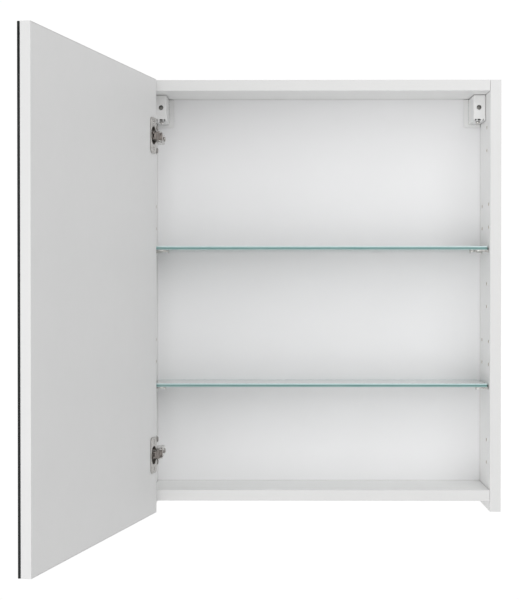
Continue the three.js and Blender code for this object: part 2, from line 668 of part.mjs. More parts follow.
function addLink(parent, name, solid, armPivot, cupPivot, height) {
  const group = new THREE.Group();
  group.position.set(armPivot.x, armPivot.y, height);
  group.rotation.z = cupPivot.clone().sub(armPivot).angle();
  addPart(group, name, solid, FINISH.darkNickel);
  parent.add(group);
}

function addDoor(parent) {
  const door = new THREE.Group();
  door.position.set(CORNER_OPEN.x, CORNER_OPEN.y, 0);
  door.rotation.z = -DOOR_OPEN;
  addPart(door, 'door_panel', doorBoard(), FINISH.melamine);
  addPart(door, 'mirror_glass', mirrorGlass(), FINISH.mirror);
  for (const [name, height] of Object.entries(HINGE_HEIGHTS)) {
    const place = new THREE.Group();
    place.position.z = height;
    addPart(place, `hinge_${name}_cup`, hingeCup(), FINISH.nickel);
    addPart(place, `hinge_${name}_cup_pin`, cupPin(), FINISH.darkNickel);
    addPart(place, `hinge_${name}_cup_screw_upper`, cupScrew(1), FINISH.nickel);
    addPart(place, `hinge_${name}_cup_screw_lower`, cupScrew(-1), FINISH.nickel);
    door.add(place);
  }
  parent.add(door);
}

const cabinet = new THREE.Group();
addPart(cabinet, 'side_panel_left', sidePanel(-1), FINISH.melamine);
addPart(cabinet, 'side_panel_right', sidePanel(1), FINISH.melamine);
addPart(cabinet, 'top_panel', crossPanel(0, -1), FINISH.melamine);
addPart(cabinet, 'bottom_panel', crossPanel(bottomMiddle, 1), FINISH.melamine);
addPart(cabinet, 'back_panel', backPanel(), FINISH.hardboard);

for (const [level, height] of Object.entries(SHELF_HEIGHTS)) {
  addPart(cabinet, `shelf_${level}`, glassShelf(height), FINISH.glass);
  for (const [name, side] of [['left', -1], ['right', 1]]) {
    const [front, rear] = PIN_SETBACKS.map((setback) => FRONT + setback);
    const label = `shelf_pin_${level}_${name}`;
    addPart(cabinet, `${label}_front`, shelfPin(side, front, height), FINISH.nickel);
    addPart(cabinet, `${label}_rear`, shelfPin(side, rear, height), FINISH.nickel);
  }
}

addHanger(cabinet, 'left', -1);
addHanger(cabinet, 'right', 1);

for (const [name, height] of Object.entries(HINGE_HEIGHTS)) {
  addHingeOnPanel(cabinet, name, height);
  addLink(cabinet, `hinge_${name}_outer_link`, outerLink(), REAR_PIVOT, outerCup.open, height);
  addLink(cabinet, `hinge_${name}_inner_link`, innerLink(), NOSE_PIVOT, innerCup.open, height);
}
addDoor(cabinet);

export default cabinet;
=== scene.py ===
import json
import math

import bmesh
import bpy
from mathutils import Matrix, Vector

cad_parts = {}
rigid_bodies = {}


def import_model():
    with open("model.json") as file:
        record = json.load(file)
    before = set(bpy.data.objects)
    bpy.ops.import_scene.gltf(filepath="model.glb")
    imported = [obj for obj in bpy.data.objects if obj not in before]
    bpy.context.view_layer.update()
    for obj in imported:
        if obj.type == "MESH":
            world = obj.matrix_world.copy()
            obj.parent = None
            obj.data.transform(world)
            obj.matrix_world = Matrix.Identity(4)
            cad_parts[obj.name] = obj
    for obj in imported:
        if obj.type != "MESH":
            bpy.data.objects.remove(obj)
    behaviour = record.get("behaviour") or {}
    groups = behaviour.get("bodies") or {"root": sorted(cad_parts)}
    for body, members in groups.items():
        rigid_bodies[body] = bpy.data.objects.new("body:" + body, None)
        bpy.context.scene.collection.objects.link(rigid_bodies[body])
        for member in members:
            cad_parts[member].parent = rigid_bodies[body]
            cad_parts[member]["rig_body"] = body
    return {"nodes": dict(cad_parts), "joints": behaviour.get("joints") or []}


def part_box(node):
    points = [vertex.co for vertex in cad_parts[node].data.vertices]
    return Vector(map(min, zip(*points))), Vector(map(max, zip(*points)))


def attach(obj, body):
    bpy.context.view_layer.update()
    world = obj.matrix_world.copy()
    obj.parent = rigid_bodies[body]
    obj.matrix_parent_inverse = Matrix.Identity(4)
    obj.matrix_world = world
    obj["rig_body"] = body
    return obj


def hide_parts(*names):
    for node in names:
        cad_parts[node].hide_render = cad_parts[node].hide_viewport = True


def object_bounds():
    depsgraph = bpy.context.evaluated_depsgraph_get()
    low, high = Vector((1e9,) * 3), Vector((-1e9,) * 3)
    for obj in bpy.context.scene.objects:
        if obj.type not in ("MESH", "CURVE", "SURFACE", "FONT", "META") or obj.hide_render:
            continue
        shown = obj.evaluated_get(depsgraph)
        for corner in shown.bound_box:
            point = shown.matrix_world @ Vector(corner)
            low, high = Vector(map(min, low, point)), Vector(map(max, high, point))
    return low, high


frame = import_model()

cad_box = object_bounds()

MM = 0.001
GAP = 0.3
TINY = 1e-6


def box_mm(node):
    low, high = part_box(node)
    return low / MM, high / MM


side_low, side_high = box_mm("side_panel_right")
INSIDE = side_low.x
FRONT = side_low.y
TOP = side_high.z
FOOT = side_low.z
back_low, back_high = box_mm("back_panel")
door_high = box_mm("door_panel")[1]

# Boards
BAND = 0.8
BAND_SEAM = 0.05
GROOVE_DEPTH = 5
PEG_RADIUS = 2.5
PEG_BORE_DEPTH = 9
SCREW_BORE_DEPTH = 12
HOLE_PITCH = 32
PIN_SETBACKS = (17.5, 85.5)
SHELF_HEIGHTS = {"upper": -228.2, "lower": -420.2}
HINGE_HEIGHTS = {"upper": -71.5, "lower": -511.5}
HINGE_HOLE_SETBACK = 37
PLATE_SCREW_SPREAD = 16

SHELF_GLASS = 5
# Share of the glass's thickness, from below, and the colour painted on its edge there: the glass's own teal
# in the middle, a painted highlight near the bottom arris and a brighter painted highlight at the top
SHELF_EDGE_BANDS = [
    (0.0, (0.5, 0.66, 0.66)), (0.22, (0.2, 0.38, 0.37)), (0.38, (0.1, 0.25, 0.235)),
    (0.62, (0.13, 0.3, 0.285)), (0.76, (0.62, 0.84, 0.85)), (1.0, (0.82, 0.97, 0.98)),
]

MIRROR_EDGE_BANDS = [(0.0, (0.004, 0.006, 0.006)), (1.0, (0.012, 0.016, 0.015))]

# Door: its own frame runs along X from the hinge edge, and Y points out of the inner face
DOOR_OPEN = math.radians(101.4)
DOOR_WIDTH = 498
DOOR_BOARD = 12
MIRROR = 3
MIRROR_ARRIS = 0.5

# Hinge
ARM_TOP = -220.5
ARM_SHEET = 1.2
ARM_HALF_WIDTH = 6.5
RAIL_TOP = -229.2
SIDE_SCREW_SETBACK = 20
HINGE_PIN = 0.8
PIN_HOLE = 1.0
EYE = 1.5
CUP_CENTRE = 17.15
CUP_RADIUS = 12.95
CUP_WALL = 0.6
CUP_DEPTH = 10.7
CUP_SCREW_SPREAD = 19
CUP_RIM = 0.9
CUP_FLANGE = (13.4, 24.7)
CUP_FLANGE_CORNER = 6
PLATE_WING = (10, 24.5)
PLATE_WING_CORNER = 7
OUTER_LINK_HALF = 2.4
INNER_LINK_HALF = 4.7
INNER_PLATE_HALF = 6.3
INNER_CUP_PIVOT = Vector((11.086, -2.593))

# Wall hangers, measured inwards from the side panel's face
HANGER_REACH = 17.2
HANGER_FRONT = -73
HANGER_TOP = -8.1
HANGER_BOTTOM = -44.2
HANGER_AXIS = 9.5
DEPTH_SCREW_HEIGHT = -25.5
HEIGHT_SCREW_Y = -58
COVER_STANDOFF = 0.5
COVER_WALL = 1.4
COVER_EYE = 3.3
COVER_FOOT_REACH = 24
COVER_FOOT_DROP = 4.3
COVER_NOTCHES = ((3.0, 4.3), (7.3, 11.7), (13.1, 15.4))
COVER_NOTCH_HEIGHT = 2.4
BODY_FRONT = -66
BODY_REACH = 14
BODY_TOP = -11
BODY_BOTTOM = -41
BODY_SHEET = 1.5
ADJUSTER_HOLE = 2.2
DEPTH_SCREW_STUB = 1.9
DEPTH_SCREW_COLLAR = 3
DEPTH_SCREW_SHANK = 1.8

# Camera and light: each softbox is its place, the length of its side and its power
KEY_LIGHT = ((0.7, -2.6, 1.2), 2.4, 24)
FILL_LIGHT = ((-1.4, -2.9, -0.8), 2.2, 27)
CAMERA_PLACE = (-0.06741, -2.28485, -0.27223)
CAMERA_AIM = (-0.008299, 0.999895, -0.0119)
CAMERA_LENS = 93.44
WALL_GLOW = (0.8, 0.95, 0.62, 1.02)
FLOOR_HEIGHT = -1.6
FLOOR_RADIUS = 2.8


def joint_place(name):
    joint = next(j for j in frame["joints"] if j["name"] == name)
    return Vector(joint["pos_m"][:2]) / MM


REAR_PIVOT = joint_place("outer_link_swing")
NOSE_PIVOT = joint_place("inner_link_swing")
OUTER_CUP_OPEN = joint_place("door_swing")
TURN = Matrix.Rotation(-DOOR_OPEN, 2)
CORNER_DROP = DOOR_BOARD * math.sin(DOOR_OPEN - math.pi / 2)
CORNER = Vector((door_high.x, door_high.y)) - Vector((0, CORNER_DROP))
OUTER_CUP_PIVOT = TURN.inverted() @ (OUTER_CUP_OPEN - CORNER)
INNER_CUP_OPEN = CORNER + TURN @ INNER_CUP_PIVOT


def placed(x=0.0, y=0.0, z=0.0, turn=0.0):
    """A placing matrix from a point in millimetres and a turn about Z."""
    return Matrix.Translation(Vector((x, y, z)) * MM) @ Matrix.Rotation(turn, 4, "Z")


DOOR = placed(CORNER.x, CORNER.y, 0, -DOOR_OPEN)


# ---- Camera, light and floor ----

def add_camera():
    data = bpy.data.cameras.new("camera")
    data.sensor_width = 36
    data.lens = CAMERA_LENS
    camera = bpy.data.objects.new("camera", data)
    camera.location = CAMERA_PLACE
    camera.rotation_mode = "QUATERNION"
    camera.rotation_quaternion = Vector(CAMERA_AIM).to_track_quat("-Z", "Y")
    bpy.context.scene.collection.objects.link(camera)
    bpy.context.scene.camera = camera


def add_softbox(name, place, size, power):
    """A square area light that faces the middle of the cabinet."""
    data = bpy.data.lights.new(name, "AREA")
    data.size = size
    data.energy = power
    lamp = bpy.data.objects.new(name, data)
    lamp.location = place
    middle = (cad_box[0] + cad_box[1]) / 2
    lamp.rotation_euler = (middle - Vector(place)).to_track_quat("-Z", "Y").to_euler()
    lamp.visible_camera = False
    bpy.context.scene.collection.objects.link(lamp)


def add_world():
    """A pale studio all round, with a bright white wall on the side that the cabinet hangs on."""
    world = bpy.data.worlds.new("studio")
    world.use_nodes = True
    tree = world.node_tree
    background = tree.nodes["Background"]
    background.inputs["Color"].default_value = (1, 1, 1, 1)
    place = tree.nodes.new("ShaderNodeTexCoord")
    parts = tree.nodes.new("ShaderNodeSeparateXYZ")
    wall = tree.nodes.new("ShaderNodeMapRange")
    for socket, value in zip(("From Min", "From Max", "To Min", "To Max"), WALL_GLOW):
        wall.inputs[socket].default_value = value
    tree.links.new(place.outputs["Generated"], parts.inputs["Vector"])
    tree.links.new(parts.outputs["Y"], wall.inputs["Value"])
    tree.links.new(wall.outputs["Result"], background.inputs["Strength"])
    bpy.context.scene.world = world


# ---- Materials ----

class Finish:
    """A procedural material, with the record's slot that it belongs to."""

    def __init__(self, name, slot, **sockets):
        self.slot = slot
        self.material = bpy.data.materials.new(name)
        self.material.use_nodes = True
        self.tree = self.material.node_tree
        self.shader = self.tree.nodes["Principled BSDF"]
        self.normal = None
        for socket, value in sockets.items():
            self.shader.inputs[socket.replace("_", " ")].default_value = value

    def add(self, kind, **inputs):
        node = self.tree.nodes.new(f"ShaderNode{kind}")
        for socket, value in inputs.items():
            node.inputs[socket.replace("_", " ")].default_value = value
        return node

    def noise(self, scale, detail=2.0, stretch=(1, 1, 1)):
        """A cloudy pattern fixed to the piece; scale is its cells per metre."""
        place = self.add("TexCoord")
        mapping = self.add("Mapping", Scale=stretch)
        pattern = self.add("TexNoise", Scale=scale, Detail=detail)
        self.tree.links.new(place.outputs["Object"], mapping.inputs["Vector"])
        self.tree.links.new(mapping.outputs["Vector"], pattern.inputs["Vector"])
        return pattern.outputs["Fac"]

    def cells(self, scale):
        place = self.add("TexCoord")
        pattern = self.add("TexVoronoi", Scale=scale)
        self.tree.links.new(place.outputs["Object"], pattern.inputs["Vector"])
        return pattern.outputs["Color"]

    def painted_shade_mask(self, reach):
        """A mask for painted shade: 1 in the open, falling towards 0 in corners closer than reach."""
        node = self.add("AmbientOcclusion", Distance=reach)
        node.samples = 6
        return node.outputs["AO"]

    def spread(self, value, low, high, start=0.3, end=0.7):
        node = self.add("MapRange", From_Min=start, From_Max=end, To_Min=low, To_Max=high)
        self.tree.links.new(value, node.inputs["Value"])
        return node.outputs["Result"]

    def mix(self, value, first, second):
        """A colour between two, either of which may be another node's colour."""
        node = self.tree.nodes.new("ShaderNodeMix")
        node.data_type = "RGBA"
        self.tree.links.new(value, node.inputs["Factor"])
        for socket, colour in (("A", first), ("B", second)):
            target = next(i for i in node.inputs if i.name == socket and i.type == "RGBA")
            if isinstance(colour, bpy.types.NodeSocket):
                self.tree.links.new(colour, target)
            else:
                target.default_value = (*colour, 1)
        return next(o for o in node.outputs if o.type == "RGBA")

    def colour(self, output):
        self.tree.links.new(output, self.shader.inputs["Base Color"])
        return self

    def rough(self, value, low, high):
        self.tree.links.new(self.spread(value, low, high), self.shader.inputs["Roughness"])
        return self

    def bump(self, value, height, strength=1.0):
        """Relief in metres, laid over any relief added before."""
        node = self.add("Bump", Distance=height, Strength=strength)
        self.tree.links.new(value, node.inputs["Height"])
        if self.normal:
            self.tree.links.new(self.normal, node.inputs["Normal"])
        self.normal = node.outputs["Normal"]
        self.tree.links.new(self.normal, self.shader.inputs["Normal"])
        return self


def board_finish(name, slot, light, dark, pearl, gloss, grain, reach=0.0025):
    """Paint or foil on board: faint clouds, a fine pearl relief and painted shade in the corners."""
    made = Finish(name, slot)
    clouds = made.spread(made.noise(9, 4), 0.0, 1.0)
    clean = made.mix(clouds, light, tuple(c * 0.985 for c in light))
    # Painted shade: the colour falls from the clean colour to dark in corners closer than reach.
    made.colour(made.mix(made.spread(made.painted_shade_mask(reach), 0.0, 1.0, 0.1, 0.8), dark, clean))
    made.rough(made.noise(60, 3), *gloss)
    return made.bump(made.noise(pearl, 2), grain).bump(made.noise(40, 2), grain * 2, 0.35)


def metal_finish(name, slot, light, dark, gloss, brushing):
    """Plated steel: brushed lines, cloudy plating, and dark painted shade in corners and where pieces meet.
    """
    made = Finish(name, slot, Metallic=1.0)
    plating = made.mix(made.spread(made.noise(260, 4), 0.0, 1.0), light, dark)
    # Painted shade: within 1.8 mm of corners and other pieces the colour goes to a quarter of the dark
    # plating tone.
    painted_corner_shade = tuple(c * 0.25 for c in dark)
    made.colour(made.mix(made.spread(made.painted_shade_mask(0.0018), 0.0, 1.0, 0.15, 0.75), painted_corner_shade, plating))
    made.rough(made.noise(500, 4, brushing), *gloss)
    return made.bump(made.noise(1600, 3, brushing), 0.00001).bump(made.noise(350, 2), 0.00003, 0.4)


def core_finish():
    """Bare chipboard, which shows only inside holes and grooves."""
    core = Finish("board_core", "white_melamine", Roughness=0.85)
    flakes = core.mix(core.spread(core.noise(900, 4), 0.0, 1.0), (0.33, 0.23, 0.14), (0.5, 0.38, 0.25))
    core.colour(core.mix(core.spread(core.cells(700), 0.0, 0.5, 0.0, 1.0), flakes, (0.24, 0.16, 0.1)))
    return core.bump(core.cells(800), 0.0003)


def backing_finish():
    """The grey paint on the back of the mirror."""
    made = Finish("mirror_backing", "mirror")
    clouds = made.spread(made.noise(30, 3), 0, 1)
    made.colour(made.mix(clouds, (0.1, 0.12, 0.12), (0.15, 0.17, 0.17)))
    return made.rough(made.noise(200, 2), 0.45, 0.6).bump(made.noise(900), 0.00003)


def make_finishes():
    made = {}
    # In each board look, the first colour is the board's own and the second is the painted shade in its
    # corners.
    boards = {
        "melamine": ("melamine", "white_melamine", (0.92, 0.92, 0.915), (0.5, 0.49, 0.48),
                     2600, (0.42, 0.52), 0.00002),
        # The door's melamine and edge band are darker copies of the carcass's: painted shade for the door's
        # less lit face.
        "door": ("shaded_door_melamine", "white_melamine", (0.8, 0.8, 0.797), (0.7, 0.69, 0.68),
                 2600, (0.4, 0.5), 0.00002),
        "band": ("edge_band", "white_melamine", (0.77, 0.77, 0.765), (0.6, 0.59, 0.57),
                 1200, (0.3, 0.4), 0.00001),
        "door_band": ("shaded_door_edge_band", "white_melamine", (0.7, 0.7, 0.698), (0.55, 0.54, 0.53),
                      1200, (0.3, 0.4), 0.00001),
        "hardboard": ("hardboard", "white_hardboard", (0.905, 0.905, 0.912), (0.74, 0.73, 0.72),
                      1500, (0.5, 0.64), 0.00004),
    }
    for name, look in boards.items():
        made[name] = board_finish(*look)
    made["core"] = core_finish()
    made["mirror"] = mirror_finish()
    made["mirror_edge"] = edge_glass("mirror_edge", "mirror", MIRROR_EDGE_BANDS, 0.0, 0.01, 0.12)
    made["mirror_backing"] = backing_finish()
    made["glass"] = clear_glass()
    made["glass_edge"] = edge_glass("shelf_edge", "shelf_glass", SHELF_EDGE_BANDS, 0.15, 0.12)
    metals = {
        "nickel": ("nickel", "nickel", (0.78, 0.765, 0.74), (0.6, 0.585, 0.565),
                   (0.18, 0.34), (1, 1, 12)),
        "cup_nickel": ("cup_nickel", "nickel", (0.64, 0.625, 0.6), (0.5, 0.485, 0.465),
                       (0.24, 0.4), (1, 1, 12)),
        "satin_nickel": ("satin_nickel", "nickel", (0.5, 0.485, 0.465), (0.4, 0.385, 0.37),
                         (0.3, 0.46), (1, 1, 12)),
        "dark_nickel": ("dark_nickel", "dark_nickel", (0.36, 0.325, 0.3), (0.26, 0.235, 0.22),
                        (0.34, 0.52), (1, 1, 10)),
    }
    for name, look in metals.items():
        made[name] = metal_finish(*look)
    # The plastic's corners get near-black painted shade within 1.6 mm, which paints the shadow line in the
    # gap under the top panel.
    made["plastic"] = board_finish(
        "moulded_plastic", "white_plastic", (0.87, 0.87, 0.865), (0.03, 0.03, 0.03),
        3500, (0.3, 0.42), 0.00002, 0.0016,
    )
    return made


def mirror_finish():
    """Silvered glass: bright and even, with the faintest wiped streaks."""
    made = Finish("silvering", "mirror", Metallic=1.0)
    streaks = made.noise(14, 5, (1, 1, 5))
    made.colour(made.mix(made.spread(made.noise(5, 2), 0.0, 1.0), (0.86, 0.89, 0.88), (0.83, 0.86, 0.86)))
    return made.rough(streaks, 0.012, 0.045).bump(made.noise(3, 1), 0.00002, 0.2)


def clear_glass():
    """Float glass: almost colourless, with a light haze from wiping."""
    made = Finish("shelf_glass", "shelf_glass", Transmission_Weight=1.0, IOR=1.52)
    clouds = made.spread(made.noise(6, 2), 0.0, 1.0)
    made.colour(made.mix(clouds, (0.955, 0.99, 0.975), (0.94, 0.98, 0.965)))
    return made.rough(made.noise(18, 5, (4, 1, 1)), 0.0, 0.035).bump(made.noise(8, 1), 0.00001, 0.2)


def edge_glass(name, slot, bands, clear, glint, shine=0.5):
    """A ground glass edge: the glass's own colour through its thickness with painted highlight bands at its
    arrises, and fine lines along it.
    """
    made = Finish(name, slot, Transmission_Weight=clear, IOR=1.52, Specular_IOR_Level=shine)
    place = made.add("TexCoord")
    parts = made.add("SeparateXYZ")
    made.tree.links.new(place.outputs["Object"], parts.inputs["Vector"])
    height = made.spread(parts.outputs["Z"], 0.0, 1.0, 0.0, SHELF_GLASS * MM)
    ramp = made.add("ValToRGB")
    points = ramp.color_ramp.elements
    while len(points) < len(bands):
        points.new(0.5)
    for point, (position, colour) in zip(points, bands):
        point.position = position
        point.color = (*colour, 1)
    made.tree.links.new(height, ramp.inputs["Fac"])
    lines = made.noise(1400, 3, (0.02, 0.02, 1))
    # Painted glints: along the fine lines the edge colour is mixed towards white, by up to glint.
    shade = made.mix(made.spread(lines, 0.0, glint), ramp.outputs["Color"], (1.0, 1.0, 1.0))
    made.colour(shade)
    return made.rough(made.noise(300, 3), 0.06, 0.2).bump(lines, 0.00001)


# ---- Outlines, in millimetres ----

def arc(a, b, radius, start, end, steps=8):
    turns = [math.radians(start + (end - start) * i / steps) for i in range(steps + 1)]
    return [(a + radius * math.cos(t), b + radius * math.sin(t)) for t in turns]


def circle(a, b, radius, steps=48):
    return arc(a, b, radius, 0, 360, steps)[:-1]


def rectangle(a_range, b_range, radius=0.0):
    a0, a1 = a_range
    b0, b1 = b_range
    if not radius:
        return [(a0, b0), (a1, b0), (a1, b1), (a0, b1)]
    corners = ((a1, b0, -90), (a1, b1, 0), (a0, b1, 90), (a0, b0, 180))
    outline = []
    for a, b, start in corners:
        centre_a = a + (radius if a == a0 else -radius)
        centre_b = b + (radius if b == b0 else -radius)
        outline += arc(centre_a, centre_b, radius, start, start + 90)
    return outline


def bezier(points, t):
    first, second, third, fourth = (Vector(p) for p in points)
    rest = 1 - t
    along = 3 * rest * rest * (second - first) + 6 * rest * t * (third - second)
    along += 3 * t * t * (fourth - third)
    place = rest ** 3 * first + 3 * rest * rest * t * second
    place = place + 3 * rest * t * t * third + t ** 3 * fourth
    return place, along.normalized()


def ribbon(points, low, high, start=0.0, end=1.0, steps=24):
    """A strip that follows a cubic curve, between two offsets to its left."""
    left = []
    right = []
    for i in range(steps + 1):
        place, along = bezier(points, start + (end - start) * i / steps)
        normal = Vector((-along.y, along.x))
        left.append(tuple(place + normal * high))
        right.append(tuple(place + normal * low))
    return right + left[::-1]


# ---- Solids, in millimetres ----

AXES = {
    "x": lambda a, b, h: (h, a, b),
    "y": lambda a, b, h: (a, h, b),
    "z": lambda a, b, h: (a, b, h),
}


def closed_mesh(vertices, faces):
    mesh = bpy.data.meshes.new("solid")
    mesh.from_pydata(vertices, [], faces)
    work = bmesh.new()
    work.from_mesh(mesh)
    bmesh.ops.remove_doubles(work, verts=work.verts, dist=TINY)
    bmesh.ops.recalc_face_normals(work, faces=work.faces)
    work.to_mesh(mesh)
    work.free()
    return mesh


def prism(axis, outline, low, high):
    """An outline across the axis, extruded along it. Across X it is drawn in Y and Z, and so on."""
    place = AXES[axis]
    count = len(outline)
    vertices = [place(a, b, h) for h in (low, high) for a, b in outline]
    walls = [(i, (i + 1) % count, count + (i + 1) % count, count + i) for i in range(count)]
    return closed_mesh(vertices, [tuple(range(count)), tuple(range(count, 2 * count)), *walls])


def lathe(axis, a, b, profile, steps=48):
    """A turned solid about an axis through (a, b); the profile is (radius, height) pairs."""
    vertices = []
    rings = []
    for radius, height in profile:
        points = circle(a, b, radius, steps) if radius else [(a, b)]
        rings.append(range(len(vertices), len(vertices) + len(points)))
        vertices += [AXES[axis](p, q, height) for p, q in points]
    faces = [tuple(ring) for ring in (rings[0], rings[-1]) if len(ring) > 1]
    for lower, upper in zip(rings, rings[1:]):
        for i in range(steps):
            j = (i + 1) % steps
            corners = (lower[i % len(lower)], lower[j % len(lower)],
                       upper[j % len(upper)], upper[i % len(upper)])
            faces.append(tuple(dict.fromkeys(corners)))
    return closed_mesh(vertices, faces)


def block(x_range, y_range, z_range):
    return prism("z", rectangle(sorted(x_range), sorted(y_range)), *sorted(z_range))


def rod(axis, a, b, radius, low, high, steps=48):
    return prism(axis, circle(a, b, radius, steps), *sorted((low, high)))


def fused(adds, cuts=(), bevel=0.0, finishes=(), cut_finish=0):
    """One closed mesh in metres: the first solids joined, the others cut out, the edges rounded."""
    for mesh in cuts:
        mesh.polygons.foreach_set("material_index", [cut_finish] * len(mesh.polygons))
    objects = []
    for mesh in (*adds, *cuts):
        for finish in finishes:
            mesh.materials.append(finish.material)
        objects.append(bpy.data.objects.new("work", mesh))
        bpy.context.scene.collection.objects.link(objects[-1])
    body = objects[0]
    operations = ["UNION"] * (len(adds) - 1) + ["DIFFERENCE"] * len(cuts)
    for tool, operation in zip(objects[1:], operations):
        modifier = body.modifiers.new(operation, "BOOLEAN")
        modifier.operation = operation
        modifier.object = tool
        modifier.solver = "EXACT"
    if bevel:
        weld = body.modifiers.new("weld", "WELD")
        weld.merge_threshold = 0.002
        edge = body.modifiers.new("edge", "BEVEL")
        edge.width = bevel
        edge.segments = 3
        edge.limit_method = "ANGLE"
        edge.angle_limit = math.radians(32)
        edge.use_clamp_overlap = False
    view = bpy.context.evaluated_depsgraph_get()
    mesh = bpy.data.meshes.new_from_object(body.evaluated_get(view), depsgraph=view)
    for obj in objects:
        bpy.data.objects.remove(obj)
    mesh.transform(Matrix.Scale(MM, 4))
    return mesh


def show(node, mesh, finishes, where=Matrix(), name=None, replaces=True):
    """Puts a finished mesh where it belongs, riding with the body of the CAD node that it stands for."""
    for finish in finishes[len(mesh.materials):]:
        mesh.materials.append(finish.material)
    mesh.shade_smooth()
    piece = bpy.data.objects.new(name or f"{node}_finished", mesh)
    bpy.context.scene.collection.objects.link(piece)
    piece.matrix_world = where
    shading = piece.modifiers.new("even_shading", "WEIGHTED_NORMAL")
    shading.keep_sharp = True
    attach(piece, frame["nodes"][node]["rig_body"])
    if replaces:
        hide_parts(node)
    return piece


def paint_faces(mesh, choose):
    """Gives each face the finish that choose picks from its normal."""
    for face in mesh.polygons:
        face.material_index = choose(face.normal)


# ---- Boards ----

def banded_board(node, x_range, y_range, z_range, finishes, cuts=()):
    """A board whose front edge carries a thin glued band."""
    y0, y1 = y_range
    core = block(x_range, (y0 + BAND + BAND_SEAM, y1), z_range)
    show(node, fused([core], cuts, 0.25, (finishes["melamine"], finishes["core"]), 1),
         (finishes["melamine"], finishes["core"]))
    band = fused([block(x_range, (y0, y0 + BAND), z_range)], (), 0.22)
    show(node, band, (finishes["band"],), name=f"{node}_edge_band", replaces=False)


def side_bores(side):
    reach = [side * (INSIDE - 1), side * (INSIDE + PEG_BORE_DEPTH)]
    bores = []
    for lowest in SHELF_HEIGHTS.values():
        for row in range(3):
            for setback in PIN_SETBACKS:
                bores.append(rod("x", FRONT + setback, lowest + row * HOLE_PITCH, PEG_RADIUS, *reach))
    middle = sum(HINGE_HEIGHTS.values()) / 2
    for height in (*HINGE_HEIGHTS.values(), middle):
        for end in (-1, 1):
            bores.append(rod("x", FRONT + HINGE_HOLE_SETBACK, height + end * PLATE_SCREW_SPREAD,
                             PEG_RADIUS, reach[0], side * (INSIDE + SCREW_BORE_DEPTH)))
    return bores


def add_carcass(finishes):
    groove_y = (back_low.y - GAP, back_high.y + GAP)
    for name, side in (("left", -1), ("right", 1)):
        node = f"side_panel_{name}"
        low, high = box_mm(node)
        groove = block((side * (INSIDE - 1), side * (INSIDE + GROOVE_DEPTH)), groove_y,
                       (back_low.z - GAP, back_high.z + GAP))
        banded_board(node, (low.x, high.x), (low.y, high.y), (low.z, high.z), finishes,
                     [*side_bores(side), groove])
    for node, face_side in (("top_panel", -1), ("bottom_panel", 1)):
        low, high = box_mm(node)
        face = high.z if face_side > 0 else low.z
        groove = block((-INSIDE, INSIDE), groove_y, (face - face_side * GROOVE_DEPTH, face + face_side))
        half = INSIDE - GAP
        banded_board(node, (-half, half), (low.y, high.y), (low.z, high.z), finishes, [groove])
    sheet = block((back_low.x, back_high.x), (back_low.y, back_high.y), (back_low.z, back_high.z))
    windows = [
        block((side * (INSIDE - 16), side * (INSIDE - 4)), (back_low.y - 1, back_high.y + 1), (-48, -14))
        for side in (-1, 1)
    ]
    mesh = fused([sheet], windows, 0.2, (finishes["hardboard"],))
    show("back_panel", mesh, (finishes["hardboard"],))


# ---- Shelves ----

def add_shelf(level, finishes):
    node = f"shelf_{level}"
    low, high = box_mm(node)
    slab = prism("z", rectangle((low.x, high.x), (low.y, high.y), 1.5), 0, high.z - low.z)
    mesh = fused([slab], (), 0.4)
    paint_faces(mesh, lambda normal: 0 if abs(normal.z) > 0.9 else 1)
    show(node, mesh, (finishes["glass"], finishes["glass_edge"]), placed(z=low.z))


def shelf_pin(side, y, z):
    """A spoon pin: peg, collar, and a tongue that is level with the peg's axis."""
    def at(reach):
        return side * (INSIDE - reach)

    peg = lathe("x", y, z, [(0, at(-8)), (1.6, at(-8)), (2.2, at(-7.3)), (2.2, at(1)), (0, at(1))])
    rim = [(0, at(GAP)), (3.6, at(GAP)), (3.6, at(0.9)), (3.1, at(1.3)), (0, at(1.3))]
    collar = lathe("x", y, z, rim)
    tip = arc(0, 0, 5, -90, 90, 16)
    outline = [(at(1), y - 3.6)]
    outline += [(at(13.5 + a), y + b) for a, b in tip]
    outline += [(at(1), y + 3.6)]
    tongue = prism("z", outline, z - 1.6, z)
    lip = block((at(16.9), at(18.1)), (y - 2.2, y + 2.2), (z - 3.4, z - 1))
    web = [(at(1), z - 3.2), (at(1), z - 1), (at(10), z - 1), (at(8.5), z - 1.9)]
    gusset = prism("y", web, y - 0.9, y + 0.9)
    return fused([tongue, collar, peg, lip, gusset], (), 0.16)


def add_shelf_pins(finishes):
    for level, height in SHELF_HEIGHTS.items():
        for name, side in (("left", -1), ("right", 1)):
            for place, setback in zip(("front", "rear"), PIN_SETBACKS):
                node = f"shelf_pin_{level}_{name}_{place}"
                show(node, shelf_pin(side, FRONT + setback, height), (finishes["nickel"],))


# ---- Wall hangers ----

def cross_slot(axis, a, b, start, end, size=1.9, half=0.38):
    """The two crossing slots of a screwdriver recess."""
    wide = rectangle((a - size, a + size), (b - half, b + half))
    tall = rectangle((a - half, a + half), (b - size, b + size))
    return [prism(axis, outline, *sorted((start, end))) for outline in (wide, tall)]


def screw(axis, a, b, head_radius, shank_radius, top, under, tip, thread=0.9):
    """A domed head from top to under, then a threaded shank to the tip."""
    way = 1 if tip > under else -1
    rise = abs(under - top)
    profile = [(0, top), (head_radius * 0.62, top), (head_radius * 0.88, top + way * rise * 0.2)]
    profile += [(head_radius, top + way * rise * 0.55), (head_radius, under)]
    profile += [(shank_radius, under)]
    length = abs(tip - under)
    turns = int(length / thread) - 1
    for i in range(turns):
        start = under + way * thread * (i + 0.6)
        profile += [(shank_radius * 0.84, start), (shank_radius, start + way * thread * 0.4)]
    profile += [(shank_radius * 0.7, tip - way * thread * 0.3), (0, tip)]
    return fused([lathe(axis, a, b, profile, 32)], cross_slot(axis, a, b, top - way, top + way * 0.9))


